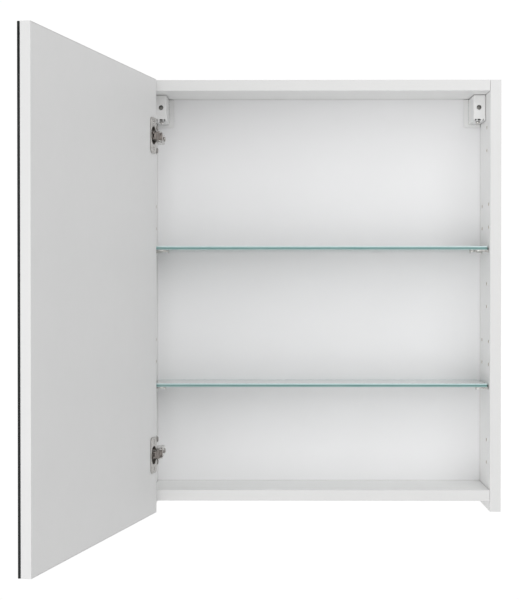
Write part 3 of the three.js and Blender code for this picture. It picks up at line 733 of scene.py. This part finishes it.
def hanger_cover(at):
    """A moulded cap with a foot flange at the back, an eye for the screw and notches in its lower lip."""
    body_y = (HANGER_FRONT, back_low.y - GAP)
    outside = rectangle(sorted((at(COVER_STANDOFF), at(HANGER_REACH))), (HANGER_BOTTOM, HANGER_TOP), 0.9)
    foot_z = (HANGER_BOTTOM - COVER_FOOT_DROP, HANGER_TOP)
    foot_flange = rectangle(sorted((at(COVER_STANDOFF), at(COVER_FOOT_REACH))), foot_z, 1.2)
    adds = [prism("y", outside, *body_y), prism("y", foot_flange, back_low.y - 1.7, back_low.y - GAP)]
    cuts = [
        block((at(-1), at(HANGER_REACH - COVER_WALL)), (HANGER_FRONT + COVER_WALL, back_low.y + 1),
              (HANGER_BOTTOM + COVER_WALL, HANGER_TOP - COVER_WALL)),
        rod("y", at(HANGER_AXIS), DEPTH_SCREW_HEIGHT, COVER_EYE, HANGER_FRONT - 1, HANGER_FRONT + 5),
        rod("z", at(HANGER_AXIS), HEIGHT_SCREW_Y, 2.6, HANGER_BOTTOM - 1, HANGER_BOTTOM + 3),
    ]
    for near, far in COVER_NOTCHES:
        cuts.append(block((at(near), at(far)), (HANGER_FRONT - 1, HANGER_FRONT + 9),
                          (HANGER_BOTTOM - 1, HANGER_BOTTOM + COVER_NOTCH_HEIGHT)))
    return fused(adds, cuts, 0.22)


def hanger_body(at):
    """Folded sheet: a plate on the side panel, two shelves, and a nose that the depth screw turns in."""
    x = (at(GAP), at(BODY_REACH))
    y = (BODY_FRONT, back_low.y - 3.5)
    z = (BODY_BOTTOM, BODY_TOP)
    plate = block((at(GAP), at(GAP + BODY_SHEET)), y, z)
    upper = block(x, y, (BODY_TOP - BODY_SHEET, BODY_TOP))
    lower = block(x, y, (BODY_BOTTOM, BODY_BOTTOM + BODY_SHEET))
    nose = block(x, (BODY_FRONT, BODY_FRONT + BODY_SHEET), z)
    axis = at(HANGER_AXIS)
    depth_hole = rod("y", axis, DEPTH_SCREW_HEIGHT, ADJUSTER_HOLE, BODY_FRONT - 1, BODY_FRONT + 3)
    height_hole = rod("z", axis, HEIGHT_SCREW_Y, ADJUSTER_HOLE, BODY_BOTTOM - 1, BODY_BOTTOM + 3)
    return fused([plate, upper, lower, nose], [depth_hole, height_hole], 0.3)


def hanger_hook(at):
    outline = [(-52, -34), (-6, -34), (-6, -46), (-3, -46), (-3, -22), (-5, -20), (-52, -20)]
    near = min(at(8), at(11))
    plate = prism("x", outline, near, near + 3)
    nut = block((at(6), at(13)), (-52, -46), (-30, -21))
    thread = rod("y", at(HANGER_AXIS), DEPTH_SCREW_HEIGHT, 2.1, -53, -44)
    return fused([plate, nut], [thread], 0.3)


def depth_screw(at):
    """A screw whose driving stub stands up from a sunk collar."""
    front, under, tip = -69.4, -66.4, -45
    stub, collar, shank = DEPTH_SCREW_STUB, DEPTH_SCREW_COLLAR, DEPTH_SCREW_SHANK
    profile = [(0, front), (1.65, front), (stub, front + 0.25), (stub, front + 2.2), (2.8, front + 2.2)]
    profile += [(collar, front + 2.4), (collar, under), (shank, under)]
    profile += [(shank, tip - 0.5), (1.3, tip), (0, tip)]
    turned = lathe("y", at(HANGER_AXIS), DEPTH_SCREW_HEIGHT, profile, 40)
    slots = cross_slot("y", at(HANGER_AXIS), DEPTH_SCREW_HEIGHT, front - 1, front + 0.3, 0.9, 0.16)
    return fused([turned], slots)


def add_hanger(name, side, finishes):
    def at(reach):
        return side * (INSIDE - reach)

    nickel = (finishes["nickel"],)
    show(f"hanger_{name}_cover", hanger_cover(at), (finishes["plastic"],))
    show(f"hanger_{name}_body", hanger_body(at), nickel)
    show(f"hanger_{name}_hook", hanger_hook(at), nickel)
    show(f"hanger_{name}_depth_screw", depth_screw(at), nickel)
    height = screw("z", at(HANGER_AXIS), HEIGHT_SCREW_Y, 3, 1.8, -47.4, -44.5, -31)
    show(f"hanger_{name}_height_screw", height, nickel)


# ---- Hinge pieces on the side panel, about the hinge's middle height ----

SCREW_Y = FRONT + HINGE_HOLE_SETBACK
ARM_FACE = ARM_TOP - ARM_SHEET
ARM_BACK = FRONT + 50


def mounting_plate():
    width, height = PLATE_WING
    wing_outline = rectangle((SCREW_Y - width, SCREW_Y + width), (-height, height), PLATE_WING_CORNER)
    wings = prism("x", wing_outline, -INSIDE + GAP, -INSIDE + 2.3)
    rail = block((-INSIDE + GAP, RAIL_TOP), (FRONT + 13, FRONT + 54), (-4.8, 4.8))
    adds = [wings, rail]
    cuts = [rod("x", SCREW_Y, 0, 2.2, -INSIDE - 1, RAIL_TOP + 1)]
    for end in (-1, 1):
        z = end * PLATE_SCREW_SPREAD
        boss = [(0, -INSIDE + GAP), (6.2, -INSIDE + GAP), (6.2, -INSIDE + 2.2)]
        boss += [(5.2, -INSIDE + 4), (0, -INSIDE + 4)]
        adds.append(lathe("x", SCREW_Y, z, boss))
        cuts.append(rod("x", SCREW_Y, z, PEG_RADIUS, -INSIDE - 1, -INSIDE + 5))
    return fused(adds, cuts, 0.25)


def hinge_arm():
    """Folded sheet: a slotted web and two flanges that carry the pins."""
    side = [(ARM_TOP, ARM_BACK), (ARM_TOP, REAR_PIVOT.y + 1.5), (NOSE_PIVOT.x + 1.9, NOSE_PIVOT.y)]
    side += arc(NOSE_PIVOT.x, NOSE_PIVOT.y, 1.9, 0, -180, 16)[1:]
    side += [
        (REAR_PIVOT.x - 2.3, REAR_PIVOT.y - 1), (-INSIDE + 2.6, FRONT + 14),
        (-INSIDE + 2.6, ARM_BACK - 4), (-INSIDE + 6.6, ARM_BACK),
    ]
    inner = ARM_HALF_WIDTH - ARM_SHEET
    adds = [prism("z", side, low, low + ARM_SHEET) for low in (-ARM_HALF_WIDTH, inner)]
    web_y = (REAR_PIVOT.y + 2.5, ARM_BACK)
    adds.insert(0, block((ARM_FACE, ARM_TOP), web_y, (-ARM_HALF_WIDTH, ARM_HALF_WIDTH)))
    through = (-ARM_HALF_WIDTH - 1, ARM_HALF_WIDTH + 1)
    cuts = [rod("z", pivot.x, pivot.y, PIN_HOLE, *through) for pivot in (REAR_PIVOT, NOSE_PIVOT)]
    cuts.append(rod("x", FRONT + SIDE_SCREW_SETBACK, 0, 2.3, ARM_FACE - 1, ARM_TOP + 1))
    slot = rectangle((SCREW_Y - 4.5, SCREW_Y + 4.5), (-2.4, 2.4), 2.3)
    cuts.append(prism("x", slot, ARM_FACE - 1, ARM_TOP + 1))
    return fused(adds, cuts, 0.22)


def side_screw():
    y = FRONT + SIDE_SCREW_SETBACK
    top = ARM_TOP + 1.2
    profile = [(0, RAIL_TOP + GAP), (1.5, RAIL_TOP + GAP), (1.9, RAIL_TOP + 0.8)]
    profile += [(1.9, top - 0.3), (1.6, top), (0, top)]
    return fused([lathe("x", y, 0, profile, 32)], cross_slot("x", y, 0, top - 1.2, top + 1, 1.3, 0.3))


def arm_pin(pivot):
    """A rivet with a domed head at each end."""
    reach = ARM_HALF_WIDTH + GAP
    half = [(HINGE_PIN, reach), (1.4, reach), (1.3, reach + 0.35), (0.8, reach + 0.58), (0, reach + 0.6)]
    profile = [(radius, -height) for radius, height in half[::-1]] + half
    return fused([lathe("z", pivot.x, pivot.y, profile, 32)])


def closing_spring():
    bend = [(ARM_FACE - 0.8, FRONT + 17), (ARM_FACE - 1.4, FRONT + 12), (-INSIDE + 4.5, FRONT + 13),
            (REAR_PIVOT.x - 1.6, FRONT + 5.6)]
    return fused([prism("z", ribbon(bend, -0.25, 0.25), -3.5, 3.5)], (), 0.08)


# ---- Links: local X runs from the arm pivot to the cup pivot ----

OUTER_LENGTH = (OUTER_CUP_OPEN - REAR_PIVOT).length
INNER_LENGTH = (INNER_CUP_OPEN - NOSE_PIVOT).length


def outer_link():
    spine = [(OUTER_LENGTH, 0), (16.7, 2.6), (14, -0.55), (0, 0)]
    adds = [
        prism("z", ribbon(spine, -0.75, 0.75), -OUTER_LINK_HALF, OUTER_LINK_HALF),
        rod("z", OUTER_LENGTH, 0, EYE, -OUTER_LINK_HALF, OUTER_LINK_HALF),
        rod("z", 0, 0, EYE, -5, 5),
    ]
    cuts = [rod("z", x, 0, PIN_HOLE, -6, 6) for x in (0, OUTER_LENGTH)]
    return fused(adds, cuts, 0.12)


def inner_link():
    """Two hooked ears joined by a bridge on the far side from the outer link."""
    spine = [(INNER_LENGTH, 0), (8.6, 3.5), (12.88, 2.46), (0, 0)]
    hook = rectangle((INNER_LENGTH - 2.15, INNER_LENGTH + 2.25), (-0.45, 3.7), 0.7)
    mouth = rectangle((INNER_LENGTH - 1.52, INNER_LENGTH + 1.64), (-3, 3.07), 1.3)
    adds = [
        prism("z", ribbon(spine, -1.7, -0.5, 0.12, 0.86), -INNER_LINK_HALF, INNER_LINK_HALF),
        prism("z", ribbon(spine, -1.9, -0.7, 0.5, 0.87), -INNER_PLATE_HALF, INNER_PLATE_HALF),
    ]
    for low in (-INNER_LINK_HALF, 2.7):
        adds.append(prism("z", ribbon(spine, -0.75, 0.75), low, low + 2))
        adds.append(prism("z", hook, low, low + 2))
        adds.append(rod("z", 0, 0, EYE, low, low + 2))
    cuts = [prism("z", mouth, -6, 6), rod("z", 0, 0, PIN_HOLE, -6, 6)]
    return fused(adds, cuts, 0.12)


# ---- Door pieces, in the door's own frame ----

def hinge_cup():
    """A stamped cup with a rounded floor, a flange, and two cheeks that carry the pin."""
    wall = [(0, -CUP_DEPTH), (CUP_RADIUS - 1.6, -CUP_DEPTH)]
    wall += arc(CUP_RADIUS - 1.6, -CUP_DEPTH + 1.6, 1.6, -90, 0, 6)[1:]
    wall += [(CUP_RADIUS, CUP_RIM), (0, CUP_RIM)]
    well_radius = CUP_RADIUS - CUP_WALL
    well = [(0, -CUP_DEPTH + CUP_WALL), (well_radius - 1.2, -CUP_DEPTH + CUP_WALL)]
    well += arc(well_radius - 1.2, -CUP_DEPTH + CUP_WALL + 1.2, 1.2, -90, 0, 6)[1:]
    well += [(well_radius, CUP_RIM), (well_radius + 0.5, 2), (0, 2)]
    width, height = CUP_FLANGE
    flange_outline = rectangle((CUP_CENTRE - width, CUP_CENTRE + width), (-height, height), CUP_FLANGE_CORNER)
    flange = prism("y", flange_outline, GAP, 1.5)
    cheek = [
        (CUP_CENTRE - 11.3, -CUP_DEPTH + 0.3), (INNER_CUP_PIVOT.x + 1.9, -CUP_DEPTH + 0.3),
        (INNER_CUP_PIVOT.x + 1.9, INNER_CUP_PIVOT.y + 1), (OUTER_CUP_PIVOT.x + 1.6, 1.2),
        (OUTER_CUP_PIVOT.x - 1.6, 1.2), (CUP_CENTRE - 11.3, -0.2),
    ]
    link_notch = block((CUP_CENTRE - 14, CUP_CENTRE - 8), (-0.1, 2), (-5.8, 5.8))
    cuts = [lathe("y", CUP_CENTRE, 0, well, 64), link_notch]
    for end in (-1, 1):
        cuts.append(rod("y", CUP_CENTRE, end * CUP_SCREW_SPREAD, 3.3, 0, 2))
    shell = fused([lathe("y", CUP_CENTRE, 0, wall, 64), flange], cuts, 0.2)
    shell.transform(Matrix.Scale(1 / MM, 4))
    adds = [shell, *(prism("z", cheek, low, low + 0.8) for low in (-5.75, 4.95))]
    pivots = (OUTER_CUP_PIVOT, INNER_CUP_PIVOT)
    holes = [rod("z", pivot.x, pivot.y, PIN_HOLE, -6, 6, 24) for pivot in pivots]
    return fused(adds, holes)


def cup_pin():
    """One bent wire whose two legs are the cup's pivots."""
    across = INNER_CUP_PIVOT - OUTER_CUP_PIVOT
    pivots = (OUTER_CUP_PIVOT, INNER_CUP_PIVOT)
    legs = [rod("z", pivot.x, pivot.y, HINGE_PIN, -6.2, 6.8, 32) for pivot in pivots]
    start = OUTER_CUP_PIVOT
    normal = Vector((-across.y, across.x)).normalized() * 0.6
    corners = (start + normal, start - normal, start + across - normal, start + across + normal)
    outline = [tuple(corner) for corner in corners]
    return fused([*legs, prism("z", outline, 6.0, 7.2)], (), 0.25)


def add_hinge(name, height, finishes):
    nickel = (finishes["nickel"],)
    satin = (finishes["satin_nickel"],)
    dark = (finishes["dark_nickel"],)
    on_panel = placed(z=height)
    show(f"hinge_{name}_mounting_plate", mounting_plate(), satin, on_panel)
    show(f"hinge_{name}_arm", hinge_arm(), nickel, on_panel)
    for label, end in (("upper", 1), ("lower", -1)):
        z = end * PLATE_SCREW_SPREAD
        made = screw("x", SCREW_Y, z, 3.8, 2.2, -INSIDE + 6.3, -INSIDE + 4.3, -INSIDE - 10)
        show(f"hinge_{name}_plate_screw_{label}", made, satin, on_panel)
    clamp = screw("x", SCREW_Y, 0, 3.4, 1.9, ARM_TOP + 2.3, ARM_TOP + GAP, -INSIDE + 0.8)
    show(f"hinge_{name}_clamp_screw", clamp, nickel, on_panel)
    show(f"hinge_{name}_side_screw", side_screw(), dark, on_panel)
    show(f"hinge_{name}_rear_pin", arm_pin(REAR_PIVOT), dark, on_panel)
    show(f"hinge_{name}_nose_pin", arm_pin(NOSE_PIVOT), dark, on_panel)
    show(f"hinge_{name}_spring", closing_spring(), dark, on_panel)
    links = (
        ("outer", outer_link, REAR_PIVOT, OUTER_CUP_OPEN),
        ("inner", inner_link, NOSE_PIVOT, INNER_CUP_OPEN),
    )
    for label, build, pivot, cup in links:
        along = cup - pivot
        where = placed(pivot.x, pivot.y, height, math.atan2(along.y, along.x))
        show(f"hinge_{name}_{label}_link", build(), dark, where)
    in_door = DOOR @ placed(z=height)
    show(f"hinge_{name}_cup", hinge_cup(), (finishes["cup_nickel"],), in_door)
    show(f"hinge_{name}_cup_pin", cup_pin(), dark, in_door)
    for label, end in (("upper", 1), ("lower", -1)):
        made = screw("y", CUP_CENTRE, end * CUP_SCREW_SPREAD, 3, 1.3, 1.5, 0.4, -9)
        show(f"hinge_{name}_cup_screw_{label}", made, nickel, in_door)


def add_door(finishes):
    bores = []
    for height in HINGE_HEIGHTS.values():
        bores.append(rod("y", CUP_CENTRE, height, CUP_RADIUS + GAP, -CUP_DEPTH - GAP, 1, 64))
        for end in (-1, 1):
            bores.append(rod("y", CUP_CENTRE, height + end * CUP_SCREW_SPREAD, 1.6, -10, 1, 16))
    inset = BAND + BAND_SEAM
    board = block((inset, DOOR_WIDTH - inset), (-DOOR_BOARD, 0), (FOOT + inset, TOP - inset))
    both = (finishes["door"], finishes["core"])
    show("door_panel", fused([board], bores, 0.25, both, 1), both, DOOR)
    bands = {
        "hinge": ((0, BAND), (FOOT, TOP)),
        "free": ((DOOR_WIDTH - BAND, DOOR_WIDTH), (FOOT, TOP)),
        "top": ((inset, DOOR_WIDTH - inset), (TOP - BAND, TOP)),
        "bottom": ((inset, DOOR_WIDTH - inset), (FOOT, FOOT + BAND)),
    }
    for name, (x_range, z_range) in bands.items():
        mesh = fused([block(x_range, (-DOOR_BOARD, 0), z_range)], (), 0.22)
        show("door_panel", mesh, (finishes["door_band"],), DOOR, f"door_band_{name}", False)
    outer = -DOOR_BOARD - GAP
    slab = block((0, DOOR_WIDTH), (outer - MIRROR, outer), (FOOT, TOP))
    mesh = fused([slab], (), MIRROR_ARRIS)
    paint_faces(mesh, lambda normal: 0 if normal.y < -0.95 else 2 if normal.y > 0.95 else 1)
    glass = (finishes["mirror"], finishes["mirror_edge"], finishes["mirror_backing"])
    show("mirror_glass", mesh, glass, DOOR)


def add_floor():
    made = Finish("studio_floor", None)
    clouds = made.spread(made.noise(1.5, 3), 0.0, 1.0)
    made.colour(made.mix(clouds, (0.78, 0.78, 0.78), (0.74, 0.74, 0.745)))
    made.rough(made.noise(6, 3), 0.55, 0.7).bump(made.noise(300, 3), 0.0003)
    disc = prism("z", circle(0, 0, FLOOR_RADIUS / MM, 96), -20, 0)
    floor = bpy.data.objects.new("floor", fused([disc]))
    floor.data.materials.append(made.material)
    floor.location.z = FLOOR_HEIGHT
    bpy.context.scene.collection.objects.link(floor)


add_camera()
add_world()
add_softbox("key", *KEY_LIGHT)
add_softbox("fill", *FILL_LIGHT)
bpy.context.scene.view_settings.view_transform = "Standard"
add_floor()
finishes = make_finishes()
add_carcass(finishes)
for level in SHELF_HEIGHTS:
    add_shelf(level, finishes)
add_shelf_pins(finishes)
add_hanger("left", -1, finishes)
add_hanger("right", 1, finishes)
for name, height in HINGE_HEIGHTS.items():
    add_hinge(name, height, finishes)
add_door(finishes)
